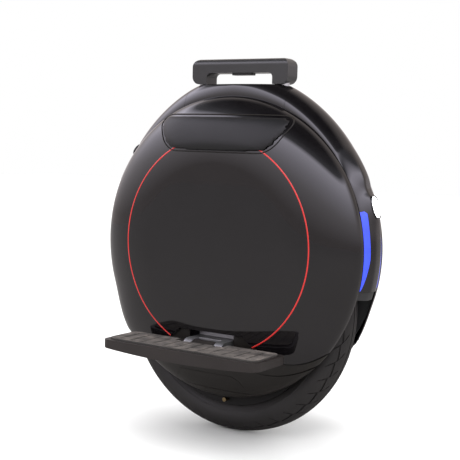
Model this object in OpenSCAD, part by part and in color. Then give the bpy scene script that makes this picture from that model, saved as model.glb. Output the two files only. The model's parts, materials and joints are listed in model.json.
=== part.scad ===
// Self-balancing electric unicycle with a 16-inch wheel and folding pedals.
// X points forward (the headlight side), Y to the left, Z up.
// The origin is where the tyre meets the ground, under the axle.

/* [Wheel] */
// Outer diameter of the tyre
tyre_d = 400; // [396:1:404]
// Width of the tyre's section
tyre_w = 49; // [46:1:50]
// Number of motor magnets and stator teeth
motor_poles = 24; // [18:2:28]

/* [Body] */
// Height of the centre of the round side covers
body_z = 284; // [282:1:286]
// Radius of the side covers at the seam
seam_r = 227; // [225:1:228]
// Width of the body over the side covers
body_w = 145; // [143:1:147]
// Wall thickness of the outer shells
wall = 2.5; // [2:0.1:2.8]
// Radius of the red trim ring
ring_r = 159; // [150:1:162]

/* [Pedals] */
// Length of a pedal, front to rear
pedal_len = 270; // [250:5:280]
// Height of the foot surface above the ground
pedal_top = 148; // [147:0.5:149]
// Distance of a pedal's outer edge from the middle of the wheel
pedal_reach = 157; // [150:1:160]

/* [Handle] */
// Length of the carry handle, front to rear
handle_len = 168; // [164:1:172]
// Height of the top of the stowed handle
handle_top = 562; // [560:1:566]
// Travel of each of the two telescopic stages
handle_travel = 85; // [60:5:85]

/* [Hidden] */
$fn = 96;

// Wheel, worked out from the tyre
wheel_z = tyre_d / 2;
tyre_r = tyre_d / 2;
tube_r = tyre_w / 2;
tyre_mid_r = tyre_r - tube_r;
casing = 3.4;
bead_r = 152.3;
flange_r = 157.6;
motor_r = 145;
motor_y = 27;
cover_y = 30.2;
axle_r = 10;
journal_r = 8;
run_gap = 0.05;
bearing_r = 21;
cover_screw_pcr = 139.5;
valve_r = 149.1;

// Body, counted outward from the middle plane
frame_y0 = 34;
frame_y1 = 36.5;
hanger_y1 = 50;
seam_y = 41;
shell_y = 40.5;
side_y = body_w / 2;
flat_r = 120;
deck_z = 524;
outline_r = 241;
outline_x = 9;
outline_z = body_z + 9;
crown_r = 45.3;
crown_mid_r = seam_r - 20.3;
shell_x = 88;
shell_bottom_z = 236;
fender_r = 212;

// Pedal hinge
pin_y = 82;
pin_z = pedal_top - 9;
pin_r = 4;
lug_r = 11;
lug_x0 = 20;
lug_x1 = 34;
pedal_y0 = 80;

// Handle columns
tube_x = 72;
guide_r = 10.5;
lower_r = 8.6;
upper_r = 6.7;
slide_gap = 0.3;
bar_h = 21;
bar_w = 28;
boot_z = deck_z + 0.5;
pan_x = 56;
pan_y = 26;
pan_z = 492;

// Lamps and sockets
lamp_z = 357;
lamp_w = 22;
lamp_h = 30;
button_angle = 29;
socket_angle = 58;
socket_r = 6;

// ---- helpers ----------------------------------------------------------------------------

// A cylinder along Y between two distances from the middle plane, on the right-hand side
module disc(r, y0, y1, x = 0, z = 0)
    translate([x, -y0, z]) rotate([90, 0, 0]) cylinder(r = r, h = y1 - y0);

// An outline in X and Z, extruded between two distances from the middle plane
module plate(y0, y1)
    translate([0, -y0, 0]) rotate([90, 0, 0]) linear_extrude(y1 - y0) children();

// A profile of radius and distance from the middle plane, turned about an axis along Y
module turned(z, x = 0, from = 0, sweep = 360)
    translate([x, 0, z]) rotate([90, 0, 0]) rotate([0, 0, from]) rotate_extrude(angle = sweep) children();

module left_hand() mirror([0, 1, 0]) children();

module both_sides() {
    children();
    left_hand() children();
}

// A rectangle with round corners, centred
module rounded(w, h, r) {
    square([w - 2 * r, h], center = true);
    square([w, h - 2 * r], center = true);
    for (x = [-1, 1], y = [-1, 1])
        translate([x * (w / 2 - r), y * (h / 2 - r)]) circle(r);
}

// Distance from the middle plane of a domed side, from its rim to its flat centre
function dome(rim_y, mid_y, rim_r, n = 14) = concat([[0, mid_y]],
    [for (i = [0 : n]) let (a = 90 - 90 * i / n)
        [flat_r + (rim_r - flat_r) * cos(a), rim_y + (mid_y - rim_y) * sin(a)]]);

module dome_solid(rim_y, mid_y, rim_r, base_y = frame_y1 + 0.2)
    turned(body_z) polygon(concat(dome(rim_y, mid_y, rim_r), [[rim_r, base_y], [0, base_y]]));

module dome_shell(rim_y, mid_y, rim_r, t, base_y = frame_y1 + 0.2) difference() {
    dome_solid(rim_y, mid_y, rim_r, base_y);
    turned(body_z) polygon(concat(dome(rim_y - t / 2, mid_y - t, rim_r - t),
        [[rim_r - t, frame_y1 - 1], [0, frame_y1 - 1]]));
}

// Lower edges of the glossy cover and of the band below it, which dip either side of the pedal
function cover_edge(x) = min(127.8 + 0.0066 * pow(abs(x) - 125, 2), 160);
function band_edge(x) = abs(x) < 57 ? 112 : 106.6 + 0.0042 * pow(abs(x) - 93, 2);

// ---- wheel ------------------------------------------------------------------------------

module tyre() color("#1c1b1c") turned(wheel_z) difference() {
    translate([tyre_mid_r, 0]) circle(tube_r);
    translate([tyre_mid_r, 0]) circle(tube_r - casing);
    translate([tyre_mid_r - tube_r - 2, -12]) square([11, 24]);
    translate([bead_r - 5, -tube_r]) square([5.2, 2 * tube_r]);
    for (y = [-2.8, 2.8]) translate([tyre_r - 1.7, y - 0.8]) square([4, 1.6]);
}

module inner_tube() color("#2b2b2d") difference() {
    turned(wheel_z) difference() {
        translate([tyre_mid_r + 1, 0]) circle(tube_r - casing - 1.4);
        translate([tyre_mid_r + 1, 0]) circle(tube_r - casing - 2.8);
        translate([bead_r - 5, -tube_r]) square([9, 2 * tube_r]);
    }
    translate([0, 0, wheel_z - 170]) cylinder(r = 4.2, h = 20);
}

// Motor shell and tyre rim in one casting
module hub_rim() color("#4a4b4e") difference() {
    turned(wheel_z) polygon([[133, -motor_y], [motor_r, -motor_y], [motor_r, -20], [flange_r, -20],
        [flange_r, -17.2], [bead_r, -17.2], [bead_r, -12.5], [motor_r, -9], [motor_r, 9], [bead_r, 12.5],
        [bead_r, 17.2], [flange_r, 17.2], [flange_r, 20], [motor_r, 20], [motor_r, motor_y],
        [133, motor_y]]);
    disc(3, 6, 22, 0, wheel_z - valve_r);
    cover_screw_places() disc(1.7, motor_y - 12, motor_y + 1);
}

module cover_screw_places() both_sides()
    for (i = [0 : 11]) translate([0, 0, wheel_z]) rotate([0, 30 * i + 15, 0])
        translate([cover_screw_pcr, 0, 0]) children();

module motor_cover_right() color("#55565a") difference() {
    turned(wheel_z) polygon([[bearing_r, 20], [32, 20], [36, motor_y + 0.2], [motor_r, motor_y + 0.2],
        [motor_r, cover_y - 1.2], [motor_r - 1.5, cover_y], [36, cover_y], [32, 32], [bearing_r, 32]]);
    cover_screw_places() disc(1.8, motor_y, cover_y + 1);
}

module motor_cover_left() left_hand() motor_cover_right();

module magnets() color("#8c8f94") for (i = [0 : motor_poles - 1])
    turned(wheel_z, 0, 360 / motor_poles * i, 360 / motor_poles - 1.5)
        translate([130, -15]) square([2.9, 30]);

module hub_bearings() color("#b9bcc1") both_sides() turned(wheel_z) difference() {
    translate([axle_r + run_gap, 20.2]) square([bearing_r - axle_r - run_gap - 0.02, 11.6]);
    translate([15.5, 19]) square([1, 3]);
    translate([15.5, 30.2]) square([1, 3]);
}

module motor_cover_screws() color("#77797d") cover_screw_places() {
    disc(1.6, motor_y - 10, cover_y);
    difference() {
        disc(3.2, cover_y, cover_y + 1.6);
        rotate([0, 15, 0]) disc(1.4, cover_y + 0.6, cover_y + 2, $fn = 6);
    }
}

// The valve leaves the rim sideways, because the motor fills the space inside it
module valve_stem() color("#c7c3b4") {
    disc(2.8, 7, 29, 0, wheel_z - valve_r);
    disc(3.8, 6.6, 8.6, 0, wheel_z - valve_r);
    disc(3.2, 22, 30, 0, wheel_z - valve_r);
}

// ---- motor core and pedal hangers -------------------------------------------------------

module axle() color("#9a9da1") difference() {
    union() {
        disc(axle_r, -33.5, 33.5, 0, wheel_z);
        disc(journal_r, -60, 60, 0, wheel_z);
    }
    disc(3.3, -65, -14, 0, wheel_z);
    translate([0, 19, wheel_z]) cylinder(r = 3, h = 12);
}

module stator_core() color("#6e7074") difference() {
    union() {
        disc(104, -14, 14, 0, wheel_z);
        for (i = [0 : motor_poles - 1]) translate([0, 0, wheel_z]) rotate([0, 360 / motor_poles * i, 0])
            translate([100, -13.8, -3]) cube([26, 27.6, 6]);
        for (i = [0 : motor_poles - 1]) turned(wheel_z, 0, 360 / motor_poles * (i - 0.38), 273 / motor_poles)
            translate([125, -14]) square([4, 28]);
    }
    disc(94, 7, 15, 0, wheel_z);
    disc(94, -15, -7, 0, wheel_z);
    disc(axle_r + 0.02, -20, 20, 0, wheel_z);
    for (i = [0 : 5]) translate([0, 0, wheel_z]) rotate([0, 60 * i + 30, 0]) disc(20, -20, 20, 58);
}

module stator_windings() color("#b5652d") for (i = [0 : motor_poles - 1])
    translate([0, 0, wheel_z]) rotate([0, 360 / motor_poles * i, 0]) difference() {
        translate([105, -18, -6.5]) cube([19.5, 36, 13]);
        translate([104, -14.2, -3.2]) cube([22, 28.4, 6.4]);
    }

// Insulated phase lead, from the axle's end up the left side to the controller
module motor_cable() color("#26262a") for (i = [0 : len(cable_path) - 2])
    link(cable_path[i], cable_path[i + 1], 3);

cable_path = [[0, 40, 200], [0, 64, 200], [0, 64.5, 214], [4, 64, 272], [40, 64, 372], [84, 60, 402],
    [100, 46, 410], [100, 30, 410], [104, 24, 418]];

// A round rod between two points, with a ball at its far end
module link(a, b, r) {
    d = b - a;
    translate(b) sphere(1.08 * r, $fn = 32);
    translate(a) rotate([0, acos(d[2] / norm(d)), atan2(d[1], d[0])]) cylinder(r = r, h = norm(d), $fn = 32);
}

module hanger_right() color("#7b7d81") difference() {
    union() {
        plate(frame_y1 + 0.1, hanger_y1) {
            translate([0, wheel_z]) circle(27);
            polygon([[-22, 254], [22, 254], [27, 200], [lug_x1, 156], [lug_x1, 127], [-lug_x1, 127],
                [-lug_x1, 156], [-27, 200]]);
        }
        translate([-lug_x1, -71, 128]) cube([2 * lug_x1, 22, 22]);
        for (x = [-lug_x1, lug_x0]) {
            translate([x, -pin_y, pin_z]) rotate([0, 90, 0]) cylinder(r = lug_r, h = lug_x1 - lug_x0);
            translate([x, -pin_y, pin_z - lug_r]) cube([lug_x1 - lug_x0, pin_y - 70, 2 * lug_r]);
        }
    }
    disc(journal_r + 0.02, 30, 60, 0, wheel_z);
    for (x = [-14, 14]) disc(3.1, 30, 60, x, 244);
    translate([-40, -pin_y, pin_z]) rotate([0, 90, 0]) cylinder(r = pin_r + 0.02, h = 80);
    translate([-lug_x0, -pin_y, pin_z]) rotate([0, 90, 0]) cylinder(r = lug_r + 0.6, h = 2 * lug_x0);
}

module hanger_left() left_hand() hanger_right();

module hanger_bolts() color("#5c5e62") both_sides() for (x = [-14, 14]) {
    disc(3, frame_y0 + 0.2, hanger_y1 + 0.1, x, 244);
    difference() {
        disc(5, hanger_y1 + 0.1, hanger_y1 + 4, x, 244);
        disc(2.5, hanger_y1 + 1.5, hanger_y1 + 5, x, 244, $fn = 6);
    }
}

module axle_nuts() color("#a4a6aa") both_sides() difference() {
    union() {
        disc(14, hanger_y1 + 0.1, hanger_y1 + 2, 0, wheel_z);
        disc(13, hanger_y1 + 2, hanger_y1 + 6.5, 0, wheel_z, $fn = 6);
    }
    disc(journal_r + 0.02, hanger_y1, 60, 0, wheel_z);
}

module pedal_pins() color("#b4b6ba") both_sides() {
    translate([-lug_x1 - 1.5, -pin_y, pin_z]) rotate([0, 90, 0]) cylinder(r = pin_r, h = 2 * lug_x1 + 3);
    for (x = [-lug_x1 - 3.5, lug_x1 + 1])
        translate([x, -pin_y, pin_z]) rotate([0, 90, 0]) cylinder(r = 6, h = 2.5);
}

// ---- frame round the wheel --------------------------------------------------------------

module side_frame_right() color("#2e2e31") difference() {
    plate(frame_y0, frame_y1) intersection() {
        translate([0, body_z]) circle(seam_r - 8);
        translate([-tyre_r - 30, body_z - seam_r + 14]) square([2 * tyre_r + 60, 2 * seam_r]);
    }
    plate(frame_y0 - 1, frame_y1 + 1) {
        translate([0, wheel_z]) circle(30);
        translate([-30, 40]) square([60, wheel_z - 40]);
    }
    for (x = [-14, 14]) disc(3.1, 30, 40, x, 244);
    disc(8, 30, 40, 100, 410);
    for (p = concat(cover_screw_spots, lower_screw_spots), m = [-1, 1]) disc(2.1, 30, 40, m * p[0], p[1]);
}

module side_frame_left() left_hand() side_frame_right();

// Screws from inside the wheel well hold the side covers and the lower covers
cover_screw_spots = [[150, 400], [205, 284], [150, 170]];
lower_screw_spots = [[104, 96]];

module screw_bosses(spots, rim_y, mid_y, rim_r) intersection() {
    for (p = spots, m = [-1, 1]) difference() {
        disc(4.5, frame_y1 + 0.2, 90, m * p[0], p[1]);
        disc(1.75, frame_y1, frame_y1 + 8, m * p[0], p[1]);
    }
    dome_solid(rim_y - 0.5, mid_y - 0.5, rim_r - 0.5);
}

module cover_screws() color("#6a6c70") both_sides()
    for (p = concat(cover_screw_spots, lower_screw_spots), m = [-1, 1]) difference() {
        union() {
            disc(1.65, frame_y0 - 0.2, frame_y1 + 7, m * p[0], p[1]);
            disc(3.2, frame_y0 - 2.2, frame_y0 - 0.1, m * p[0], p[1]);
        }
        disc(1.5, frame_y0 - 3, frame_y0 - 1, m * p[0], p[1], $fn = 6);
    }

module fender() color("#232326") intersection() {
    plate(-frame_y0 + 0.2, frame_y0 - 0.2) difference() {
        translate([0, wheel_z]) circle(fender_r + 2.5);
        translate([0, wheel_z]) circle(fender_r);
    }
    translate([-tyre_r - 40, -60, 236]) cube([2 * tyre_r + 80, 120, 300]);
}

// Rubber lip that closes the gap between the shell's lower end and the wheel
module mud_flap() difference() {
    intersection() {
        plate(-shell_y, shell_y) difference() {
            translate([-outline_x, outline_z]) circle(outline_r - 0.6);
            translate([0, wheel_z]) circle(fender_r + 2.8);
        }
        translate([150, -60, 226]) cube([100, 120, shell_bottom_z - 226.3]);
        turned(body_z) translate([0, -50]) square([seam_r + 6, 100]);
    }
    translate([150, -frame_y1 - 0.2, 200]) cube([67, 2 * frame_y1 + 0.4, 34]);
    both_sides() plate(frame_y0 - 0.2, frame_y1 + 0.2) translate([0, body_z]) circle(seam_r - 7.8);
}

module mud_flaps() color("#1a1a1c") {
    mud_flap();
    mirror([1, 0, 0]) mud_flap();
}

// ---- outer shells -----------------------------------------------------------------------

// Solid inside the crowned centre shell: a fat ring round the wheel, trimmed by the side outline
module crowned_solid(inset, half_w, side) intersection() {
    turned(body_z) {
        translate([crown_mid_r, 0]) circle(crown_r - inset);
        translate([0, -crown_r + inset]) square([crown_mid_r, 2 * (crown_r - inset)]);
    }
    plate(-half_w, half_w) translate([-side * outline_x, outline_z]) circle(outline_r - inset);
}

module half_shell(side) difference() {
    crowned_solid(0, shell_y, side);
    crowned_solid(3, 60, side);
}

module front_shell() color("#141416") difference() {
    intersection() {
        half_shell(1);
        translate([shell_x + 0.15, -60, shell_bottom_z]) cube([200, 120, 400]);
    }
    lamp_outline(200, 60, 1.8);
    both_sides() strip_groove(1);
}

module rear_shell() color("#141416") difference() {
    mirror([1, 0, 0]) intersection() {
        half_shell(1);
        translate([shell_x + 0.15, -60, shell_bottom_z]) cube([200, 120, 400]);
    }
    mirror([1, 0, 0]) lamp_outline(200, 60, 0.3);
    mirror([1, 0, 0]) both_sides() strip_groove(1);
    at_button() cylinder(r = 8.3, h = 40, center = true);
    at_socket() cylinder(r = 10.2, h = 40, center = true);
}

module top_cover() color("#161618") difference() {
    union() {
        intersection() {
            union() {
                half_shell(1);
                half_shell(-1);
                deck_plate();
            }
            crowned_solid(0, shell_y, 1);
            crowned_solid(0, shell_y, -1);
            translate([-shell_x, -60, 400]) cube([2 * shell_x, 120, deck_z - 400]);
        }
        translate([0, 0, pan_z - wall]) linear_extrude(deck_z - pan_z)
            rounded(2 * pan_x + 5, 2 * pan_y + 5, 14.5);
    }
    translate([0, 0, pan_z]) linear_extrude(60) rounded(2 * pan_x, 2 * pan_y, 12);
    for (x = [-tube_x, tube_x]) translate([x, 0, 500]) cylinder(r = lower_r + slide_gap, h = 40);
}

module deck_plate() translate([-shell_x, -shell_y, deck_z - 3]) cube([2 * shell_x, 2 * shell_y, 3]);

module side_cover_right() color("#18171a") difference() {
    union() {
        intersection() {
            dome_shell(seam_y, side_y, seam_r, wall, shell_y + 0.2);
            plate(30, 90) cover_outline();
        }
        screw_bosses(cover_screw_spots, seam_y, side_y, seam_r);
    }
    turned(body_z + 4) translate([ring_r - 1.3, side_y - 3.3]) square([2.6, 5]);
}

module cover_outline() polygon(concat([[240, 540], [-240, 540]],
    [for (x = [-240 : 8 : 240]) [x, cover_edge(x)]]));

module side_cover_left() left_hand() side_cover_right();

// Red ring, let into the domed covers
module trim_rings() color("#c8201f") both_sides() intersection() {
    dome_solid(seam_y, side_y - 0.1, seam_r - 0.1);
    turned(body_z + 4) translate([ring_r - 1.2, side_y - 3.25]) square([2.4, 4]);
    plate(30, 90) cover_outline();
}

module side_band_right() color("#2c2a2a") difference() {
    intersection() {
        dome_shell(seam_y - 2, side_y - 4, seam_r - 0.8, wall);
        plate(30, 90) polygon(concat(
            [for (x = [-192 : 8 : 192]) [x, cover_edge(x) - 0.5]],
            [for (x = [192 : -8 : -192]) [x, min(band_edge(x), cover_edge(x) - 1)]]));
    }
    translate([-39, -90, 125]) cube([78, 60, 60]);
}

module side_band_left() left_hand() side_band_right();

module lower_cover_right() color("#242424") difference() {
    union() {
        intersection() {
            dome_shell(seam_y - 3.5, side_y - 7, seam_r - 1.6, wall);
            plate(30, 90) polygon(concat([[170, 40], [-170, 40]],
                [for (x = [-168 : 8 : 168]) [x, band_edge(x) - 0.5]]));
        }
        screw_bosses(lower_screw_spots, seam_y - 3.5, side_y - 7, seam_r - 1.6);
    }
    plate(30, 90) panel_outline(0);
}

module lower_cover_left() left_hand() lower_cover_right();

// Small cover under the pedal, for reaching the clamp
module panel_outline(inset)
    polygon([[-78 + inset, 72 + inset], [-64 + inset, 96 - inset], [30, 96 - inset], [42, 90 - inset],
        [58 - inset, 72 + inset]]);

module service_panel_right() color("#262626") intersection() {
    dome_shell(seam_y - 3.6, side_y - 7.2, seam_r - 1.7, wall - 0.2);
    plate(30, 90) panel_outline(0.5);
}

module service_panel_left() left_hand() service_panel_right();

// Soft knee and shin pad, wider at its top
module leg_pad_right() color("#1e1e20") difference() {
    intersection() {
        dome_solid(seam_y + 5, side_y + 7.5, seam_r + 5, $fn = 240);
        plate(46, 95) pad_outline();
    }
    dome_solid(seam_y + 0.2, side_y + 0.3, seam_r + 0.3, 30, $fn = 240);
}

module pad_outline() {
    polygon([[-78, 424], [78, 424], [86, 428], [124, 464], [126, 470], [121, 476], [112, 478],
        [-112, 478], [-121, 476], [-126, 470], [-124, 464], [-86, 428]]);
}

module leg_pad_left() left_hand() leg_pad_right();

// ---- lamps ------------------------------------------------------------------------------

module strip_groove(grow) turned(body_z, 0, -11.2, 28.4)
    polygon([[seam_r - 1.5, 33.6], [seam_r + 10, 31.6], [seam_r + 10, 41 + grow], [seam_r - 1.5, 41 + grow]]);

module light_strip_front_right() color("#2b52ff") intersection() {
    turned(body_z, 0, -11, 28)
        polygon([[seam_r - 1.3, 33.9], [seam_r + 9, 32], [seam_r + 9, 40], [seam_r - 1.3, 40]]);
    crowned_solid(0.2, shell_y, 1);
}

module light_strip_front_left() left_hand() light_strip_front_right();
module light_strip_rear_right() mirror([1, 0, 0]) light_strip_front_right();
module light_strip_rear_left() left_hand() light_strip_rear_right();

module light_boards() color("#2e7a4b") {
    both_sides() for (m = [0, 1]) mirror([m, 0, 0])
        turned(body_z, 0, -6, 24) translate([seam_r - 4, 32.5]) square([1.6, 5]);
    for (x = [207.5, -209]) translate([x, -9, lamp_z - 13]) cube([1.6, 18, 26]);
}

module lamp_outline(x, len, grow) translate([x, 0, lamp_z]) rotate([90, 0, 90])
    linear_extrude(len) rounded(lamp_w + 2 * grow, lamp_h + 2 * grow, lamp_w / 2 - 0.5 + grow);

// Cup that carries the lens a little proud of the sloping shell
module headlight_housing() color("#3a3a3d") difference() {
    lamp_outline(206, 20, 1.5);
    lamp_outline(209.5, 30, -1.6);
    lamp_outline(222, 30, 0.1);
    translate([205, -9.4, lamp_z - 13.4]) cube([4.6, 18.8, 26.8]);
}

module headlight_lens() color("#f4f6fb") difference() {
    lamp_outline(222.1, 5, 0);
    translate([213, 0, lamp_z]) sphere(r = 11);
}

module tail_light_lens() color("#b3141a") mirror([1, 0, 0]) difference() {
    lamp_outline(211, 14.5, 0);
    lamp_outline(210, 13.2, -2);
}

// ---- electrics --------------------------------------------------------------------------

// One flat pack of five rows of cells on each side
module battery_packs() color("#2f6fb5") both_sides() for (row = [0 : 4])
    translate([-131, -48.5, 279 + 18.6 * row]) rotate([0, 90, 0]) cylinder(r = 9.4, h = 262);

module at_controller() translate([138, 0, 400]) rotate([0, 45, 0]) children();

module controller_board() color("#27603f") at_controller() {
    translate([-38, -29, 0]) cube([76, 58, 1.6]);
    for (x = [-24, 0, 24]) translate([x, 16, 1.6]) cylinder(r = 8, h = 20);
    translate([-30, -24, 1.6]) cube([22, 22, 7]);
    translate([4, -22, 1.6]) cube([26, 16, 4]);
}

module heat_sink() color("#a9acb0") at_controller() {
    translate([-34, -27, -5]) cube([68, 54, 4.9]);
    for (i = [0 : 8]) translate([-34, -27 + 6.5 * i, -15]) cube([68, 2, 10.1]);
}

module at_socket() translate([outline_x, 0, outline_z]) rotate([0, -socket_angle, 0])
    translate([0, 0, outline_r]) children();

module charge_socket() color("#3b3c40") at_socket() difference() {
    union() {
        translate([0, 0, -22]) cylinder(r = 9.9, h = 22);
        translate([0, 0, -8]) cylinder(r = 12.5, h = 4.6);
    }
    translate([0, 0, -13]) cylinder(r = socket_r, h = 20);
    for (a = [0, 120, 240]) rotate([0, 0, a]) translate([3, 0, -17]) cylinder(r = 1, h = 8, $fn = 24);
}

module charge_cap() color("#202023") at_socket() {
    difference() {
        translate([0, 0, 0.3]) cylinder(r = 11, h = 2.4);
        translate([0, 0, 2.3]) rotate_extrude() translate([8, 0]) square([1, 1]);
    }
    translate([9, -4, 0.3]) cube([5, 8, 2.4]);
    translate([14, 4, 1.5]) rotate([90, 0, 0]) cylinder(r = 1.4, h = 8);
}

module at_button() translate([outline_x, 0, outline_z]) rotate([0, -button_angle, 0])
    translate([0, 0, outline_r]) children();

module power_button() color("#8b8e94") at_button() difference() {
    union() {
        translate([0, 0, -6]) cylinder(r = 8, h = 6.8);
        translate([0, 0, -9]) cylinder(r = 4, h = 3.2);
    }
    translate([0, 0, 0.5]) rotate_extrude() translate([4.6, 0]) square([0.8, 1]);
}

// ---- telescopic handle ------------------------------------------------------------------

module at_columns() for (x = [-tube_x, tube_x]) translate([x, 0, 0]) children();

module tube(r0, r1, z0, z1) difference() {
    translate([0, 0, z0]) cylinder(r = r1, h = z1 - z0);
    translate([0, 0, z0 - 1]) cylinder(r = r0, h = z1 - z0 + 2);
}

module handle_guides() color("#7d8085") at_columns() {
    tube(lower_r + slide_gap, guide_r, 492 - handle_travel, 511);
    tube(guide_r - 0.1, guide_r + 2, 500, 504);
}

module handle_lower_tubes() color("#b2b5ba") at_columns() {
    tube(upper_r + slide_gap, lower_r, 495 - handle_travel, 522);
}

module handle_upper_tubes() color("#c4c7cb") at_columns() tube(5.2, upper_r, 498 - handle_travel, 556);

module handle_grip() color("#19191b") difference() {
    intersection() {
        translate([0, bar_w / 2, 0]) rotate([90, 0, 0]) linear_extrude(bar_w) difference() {
            translate([0, (handle_top + boot_z) / 2]) rounded(handle_len, handle_top - boot_z, 12);
            translate([0, handle_top - bar_h - 20]) rounded(2 * 58, 40, 7);
        }
        translate([-100, 0, handle_top - 24]) rotate([90, 0, 90]) linear_extrude(200) rounded(bar_w, 48, 9);
    }
    at_columns() translate([0, 0, 500]) cylinder(r = upper_r + 0.02, h = 56.1);
    translate([-18.4, -7.4, handle_top - bar_h - 1]) cube([36.8, 14.8, 11]);
}

// Release for the telescopic lock, under the bar where the fingers close
module handle_button() color("#3c3d41") translate([0, 0, handle_top - bar_h - 3]) {
    linear_extrude(6) rounded(36, 14, 4);
    translate([0, 0, 6]) linear_extrude(1.2) rounded(30, 9, 3);
}

// ---- pedals -----------------------------------------------------------------------------

module pedal_outline(inset) intersection() {
    translate([0, -(pedal_y0 + pedal_reach) / 2])
        rounded(pedal_len - 2 * inset, pedal_reach - pedal_y0 - 2 * inset, 9);
    translate([0, -pedal_reach + 44]) rounded(pedal_len - 2 * inset, 88 - 2 * inset, 12);
}

module pedal_right() color("#5f5a57") difference() {
    union() {
        intersection() {
            translate([0, 0, 120]) linear_extrude(pedal_top - 122.4) difference() {
                pedal_outline(0);
                translate([-37.5, -94.5]) square([75, 30]);
            }
            disc(1519, 0, 200, 0, 127.5 + 1519, $fn = 200);
        }
        translate([-lug_x0 + 0.4, -98, pin_z - 8]) cube([2 * lug_x0 - 0.8, 16, 16]);
        translate([-lug_x0 + 0.4, -pin_y, pin_z]) rotate([0, 90, 0])
            cylinder(r = 10.4, h = 2 * lug_x0 - 0.8);
    }
    translate([-40, -pin_y, pin_z]) rotate([0, 90, 0]) cylinder(r = pin_r + run_gap, h = 80);
    translate([0, 0, pedal_top - 3.6]) linear_extrude(10) pad_recess(0);
}

module pad_recess(inset) difference() {
    pedal_outline(6 + inset);
    translate([-42 - inset, -100 - inset]) square([84 + 2 * inset, 36]);
}

module pedal_left() left_hand() pedal_right();

module pedal_grip_right() color("#6c6a69") difference() {
    translate([0, 0, pedal_top - 3.5]) linear_extrude(3.5) pad_recess(0.3);
    for (x = [-110 : 20 : 110]) translate([x - 1, -pedal_reach + 12, pedal_top - 1]) cube([2, 46, 2]);
}

module pedal_grip_left() left_hand() pedal_grip_right();

tyre();
inner_tube();
hub_rim();
motor_cover_right();
motor_cover_left();
magnets();
hub_bearings();
motor_cover_screws();
valve_stem();
axle();
stator_core();
stator_windings();
motor_cable();
hanger_right();
hanger_left();
hanger_bolts();
axle_nuts();
pedal_pins();
side_frame_right();
side_frame_left();
fender();
cover_screws();
mud_flaps();
front_shell();
rear_shell();
top_cover();
side_cover_right();
side_cover_left();
trim_rings();
side_band_right();
side_band_left();
lower_cover_right();
lower_cover_left();
service_panel_right();
service_panel_left();
leg_pad_right();
leg_pad_left();
light_strip_front_right();
light_strip_front_left();
light_strip_rear_right();
light_strip_rear_left();
light_boards();
headlight_housing();
headlight_lens();
tail_light_lens();
battery_packs();
controller_board();
heat_sink();
charge_socket();
handle_guides();
power_button();
charge_cap();
handle_lower_tubes();
handle_upper_tubes();
handle_grip();
handle_button();
pedal_right();
pedal_left();
pedal_grip_right();
pedal_grip_left();
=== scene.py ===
"""Looks for a self-balancing electric unicycle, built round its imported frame.

X points forward, Y to the rider's left, Z up. Shapes are worked out in millimetres and become
metres when a mesh is made. Right-hand pieces are made first and copied to the left.
"""

import json
import math

import bpy
from mathutils import Matrix, Vector

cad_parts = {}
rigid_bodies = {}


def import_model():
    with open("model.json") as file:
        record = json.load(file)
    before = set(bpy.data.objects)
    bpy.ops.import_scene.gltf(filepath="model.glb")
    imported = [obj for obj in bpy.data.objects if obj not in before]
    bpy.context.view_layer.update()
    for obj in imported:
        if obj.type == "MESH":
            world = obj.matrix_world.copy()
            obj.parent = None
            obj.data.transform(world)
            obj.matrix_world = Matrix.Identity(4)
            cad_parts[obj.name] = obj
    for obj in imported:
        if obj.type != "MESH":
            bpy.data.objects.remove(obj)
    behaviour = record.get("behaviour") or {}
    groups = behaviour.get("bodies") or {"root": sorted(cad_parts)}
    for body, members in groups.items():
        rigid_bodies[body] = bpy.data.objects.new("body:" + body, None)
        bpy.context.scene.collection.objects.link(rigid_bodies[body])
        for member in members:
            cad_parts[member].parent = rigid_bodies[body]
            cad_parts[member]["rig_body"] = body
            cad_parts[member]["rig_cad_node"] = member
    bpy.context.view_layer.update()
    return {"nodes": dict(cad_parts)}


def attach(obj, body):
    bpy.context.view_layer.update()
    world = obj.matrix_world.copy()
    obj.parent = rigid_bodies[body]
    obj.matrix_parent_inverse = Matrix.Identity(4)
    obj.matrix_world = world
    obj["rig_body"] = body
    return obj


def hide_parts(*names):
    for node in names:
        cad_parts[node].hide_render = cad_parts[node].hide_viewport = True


bl_info = {
    "name": "Electric Unicycle",
    "version": (1, 0, 0),
    "blender": (4, 5, 0),
    "location": "View3D > Sidebar > Unicycle",
    "description": "Builds the shells, tyre, pads, pedals and lamps of an electric unicycle",
    "category": "Add Mesh",
}

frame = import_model()

MM = 0.001
SAME_PLACE = 2e-6  # metres
WHEEL_Z = 200.0  # height of the axle
TREAD_R = 200.0
TYRE_SECTION = 24.5  # half the tyre's width
BODY_Z = 284.0  # height of the round covers' centre
FLAT_R = 120.0  # the flat middle of a domed cover
RIM_Y = 27.6  # half the width of the centre shell
RIM_R = 222.9
CROWN_R = 255.0  # outline of the centre shell's ridge
CROWN_X, CROWN_RISE = -25.0, 6.0  # and its centre, from the covers' centre
SHELL_END_Z = 235.5
SHELL_TOP_X = 88.0  # where the shells meet the top cover
LAMP_TURN = 17.4  # degrees above level
PAD_OUTLINE = [(-76, 424), (76, 424), (87, 428), (98, 437), (115, 465), (113, 473), (107, 477)]
PAD_OUTLINE += [(101, 478), (-101, 478), (-107, 477), (-113, 473), (-115, 465), (-98, 437)]
PAD_OUTLINE += [(-87, 428)]
PAD_CENTRE = (0.0, 451.0)


# ---- settings ---------------------------------------------------------------------------------


def length(name, description, value):
    return bpy.props.FloatProperty(
        name=name, description=description, default=value, min=0.0, unit="LENGTH"
    )


def colour(name, description, value):
    return bpy.props.FloatVectorProperty(
        name=name, description=description, default=value, size=3, min=0, max=1, subtype="COLOR"
    )


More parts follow.
